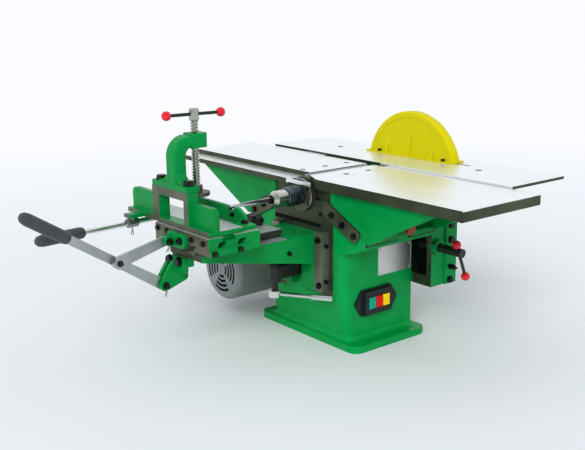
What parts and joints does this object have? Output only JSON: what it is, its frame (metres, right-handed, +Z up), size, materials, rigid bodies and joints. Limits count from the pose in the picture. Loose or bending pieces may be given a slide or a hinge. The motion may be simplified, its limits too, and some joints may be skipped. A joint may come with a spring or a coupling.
{
  "type": "combination saw planer",
  "caption": "Combination woodworking machine: surface planer and circular saw on one spindle, with a slot-mortising table, vise and drill chuck on the near side.",
  "frame": {"origin": "centre of the foot on the floor, below the cutter spindle", "axes": "+X towards the infeed end of the planer tables, +Y along the spindle towards the saw, +Z up"},
  "size_m": [0.94, 1.0352, 0.537],
  "materials": {
    "green_casting": "gloss enamel",
    "ground_iron": "ground",
    "steel": "turned",
    "bright_steel": "polished",
    "dark_steel": "blackened",
    "motor_grey": "satin",
    "guard_yellow": "gloss",
    "ball_red": "gloss",
    "grip_grey": "matte",
    "switch_black": "satin",
    "key_teal": "satin",
    "key_red": "satin",
    "key_yellow": "satin",
    "belt_rubber": "matte"
  },
  "bodies": {
    "frame": {"frame_casting": "green_casting", "bearing_caps": "ground_iron", "spindle_bearings": "steel", "knee_keepers": "ground_iron", "way_gibs": "ground_iron", "switch_housing": "switch_black", "motor_mount": "green_casting", "motor_body": "motor_grey", "motor_fan_cover": "motor_grey", "motor_terminal_box": "motor_grey", "drive_belt": "belt_rubber", "elevating_bracket": "dark_steel"},
    "start_key": {"start_button": "key_teal"},
    "stop_key": {"stop_button": "key_red"},
    "jog_key": {"jog_button": "key_yellow"},
    "rotor": {"motor_shaft": "steel", "motor_fan": "grip_grey", "motor_pulley": "dark_steel"},
    "spindle": {"spindle_shaft": "steel", "cutter_block": "steel", "planer_knives": "steel", "spindle_pulley": "dark_steel", "saw_blade": "steel", "saw_nut": "steel", "chuck_sleeve": "dark_steel", "chuck_body": "steel", "chuck_jaws": "steel", "mortise_bit": "steel"},
    "infeed": {"infeed_table": "green_casting", "infeed_lip": "steel"},
    "adjuster": {"adjuster_screw": "steel", "adjuster_knob": "ball_red"},
    "outfeed": {"outfeed_table": "green_casting", "outfeed_lip": "steel"},
    "saw_deck": {"saw_table": "ground_iron", "saw_table_bracket": "green_casting", "saw_guard": "guard_yellow"},
    "lift_spindle": {"lift_shaft": "dark_steel"},
    "lift_tommy": {"lift_bar": "dark_steel", "lift_balls": "ball_red"},
    "knee_slide": {"knee": "green_casting", "lever_fork": "green_casting"},
    "knee_screw": {"elevating_screw": "steel"},
    "ratchet": {"ratchet_handle": "bright_steel"},
    "saddle_slide": {"saddle": "green_casting", "saddle_gib": "ground_iron", "link_lug": "green_casting", "work_stop": "green_casting"},
    "lever_plunge": {"plunge_lever": "bright_steel", "plunge_grip": "grip_grey"},
    "link_plunge": {"plunge_link": "bright_steel"},
    "vise": {"vise_fence": "green_casting", "clamp_arch": "green_casting"},
    "lever_traverse": {"traverse_lever": "bright_steel", "traverse_grip": "grip_grey"},
    "collar_traverse": {"traverse_collar": "bright_steel"},
    "shoe": {"clamp_shoe": "bright_steel"},
    "vise_screw": {"clamp_screw": "steel"},
    "vise_tommy": {"clamp_bar": "dark_steel", "clamp_balls": "ball_red"}
  },
  "joints": [
    {"name": "start_press", "type": "slide", "parent": "frame", "child": "start_key", "axis": [-1, 0, 0], "range_m": [0, 0.003], "stiffness_N_per_m": 500},
    {"name": "stop_press", "type": "slide", "parent": "frame", "child": "stop_key", "axis": [-1, 0, 0], "range_m": [0, 0.003], "stiffness_N_per_m": 500},
    {"name": "jog_press", "type": "slide", "parent": "frame", "child": "jog_key", "axis": [-1, 0, 0], "range_m": [0, 0.003], "stiffness_N_per_m": 500},
    {"name": "spindle_spin", "type": "hinge", "parent": "frame", "child": "spindle", "pos_m": [0, 0, 0.331], "axis": [0, 1, 0], "continuous": true},
    {"name": "motor_spin", "type": "hinge", "parent": "frame", "child": "rotor", "pos_m": [-0.268, 0, 0.105], "axis": [0, 1, 0], "continuous": true},
    {"name": "infeed_height", "type": "slide", "parent": "frame", "child": "infeed", "axis": [0.8988, 0, -0.4384], "range_m": [0, 0.014]},
    {"name": "adjuster_turn", "type": "hinge", "parent": "infeed", "child": "adjuster", "pos_m": [0.2, 0, 0.28195], "axis": [0.8988, 0, -0.4384], "range_deg": [0, 2530]},
    {"name": "outfeed_height", "type": "slide", "parent": "frame", "child": "outfeed", "axis": [-0.8988, 0, -0.4384], "range_m": [0, 0.01]},
    {"name": "saw_lift", "type": "slide", "parent": "frame", "child": "saw_deck", "axis": [0, 0, 1], "range_m": [0, 0.06]},
    {"name": "lift_turn", "type": "hinge", "parent": "frame", "child": "lift_spindle", "pos_m": [0.289, 0.113, 0.209], "axis": [1, 0, 0], "range_deg": [0, 385]},
    {"name": "lift_bar_slide", "type": "slide", "parent": "lift_spindle", "child": "lift_tommy", "axis": [0, -0.3859, 0.9225], "range_m": [0, 0.036]},
    {"name": "knee_lift", "type": "slide", "parent": "frame", "child": "knee_slide", "axis": [0, 0, 1], "range_m": [-0.045, 0.002]},
    {"name": "elevating_turn", "type": "hinge", "parent": "frame", "child": "knee_screw", "pos_m": [0, -0.197, 0.15], "axis": [0, 0, 1], "range_deg": [-185, 4055]},
    {"name": "ratchet_swing", "type": "hinge", "parent": "frame", "child": "ratchet", "pos_m": [0, -0.197, 0.118], "axis": [0, 0, 1], "range_deg": [-150, 0]},
    {"name": "saddle_plunge", "type": "slide", "parent": "knee_slide", "child": "saddle_slide", "axis": [0, 1, 0], "range_m": [0, 0.055]},
    {"name": "plunge_swing", "type": "hinge", "parent": "knee_slide", "child": "lever_plunge", "pos_m": [-0.038, -0.459, 0.184], "axis": [1, 0, 0], "range_deg": [-34, 0.5]},
    {"name": "link_swing", "type": "hinge", "parent": "saddle_slide", "child": "link_plunge", "pos_m": [-0.0294, -0.452, 0.278], "axis": [1, 0, 0], "range_deg": [-28, 0.5]},
    {"name": "vise_cross", "type": "slide", "parent": "saddle_slide", "child": "vise", "axis": [1, 0, 0], "range_m": [-0.06, 0.018]},
    {"name": "traverse_swing", "type": "hinge", "parent": "saddle_slide", "child": "lever_traverse", "pos_m": [-0.182, -0.316, 0.289], "axis": [0, 0, 1], "range_deg": [-28, 9]},
    {"name": "collar_swivel", "type": "hinge", "parent": "vise", "child": "collar_traverse", "pos_m": [-0.17, -0.45, 0.289], "axis": [0, 0, 1], "range_deg": [-28, 9]},
    {"name": "clamp_press", "type": "slide", "parent": "vise", "child": "shoe", "axis": [0, 0, 1], "range_m": [-0.024, 0.06]},
    {"name": "clamp_turn", "type": "hinge", "parent": "shoe", "child": "vise_screw", "pos_m": [-0.051, -0.36, 0.45], "axis": [0, 0, 1], "range_deg": [-1735, 4325]},
    {"name": "clamp_bar_slide", "type": "slide", "parent": "vise_screw", "child": "vise_tommy", "axis": [0.1045, 0.9945, 0], "range_m": [-0.04, 0.04]}
  ],
  "couplings": [
    {"joint": "motor_spin", "follows": "spindle_spin", "ratio": 0.71429},
    {"joint": "adjuster_turn", "follows": "infeed_height", "rad_per_m": 3141.6},
    {"joint": "lift_turn", "follows": "saw_lift", "rad_per_m": 111.11},
    {"joint": "elevating_turn", "follows": "knee_lift", "rad_per_m": -1570.8},
    {"joint": "plunge_swing", "follows": "saddle_plunge", "rad_per_m": -10.611},
    {"joint": "link_swing", "follows": "saddle_plunge", "rad_per_m": -7.8554},
    {"joint": "traverse_swing", "follows": "vise_cross", "rad_per_m": 7.2908},
    {"joint": "collar_swivel", "follows": "vise_cross", "rad_per_m": 7.2908},
    {"joint": "clamp_turn", "follows": "clamp_press", "rad_per_m": 1256.6}
  ]
}
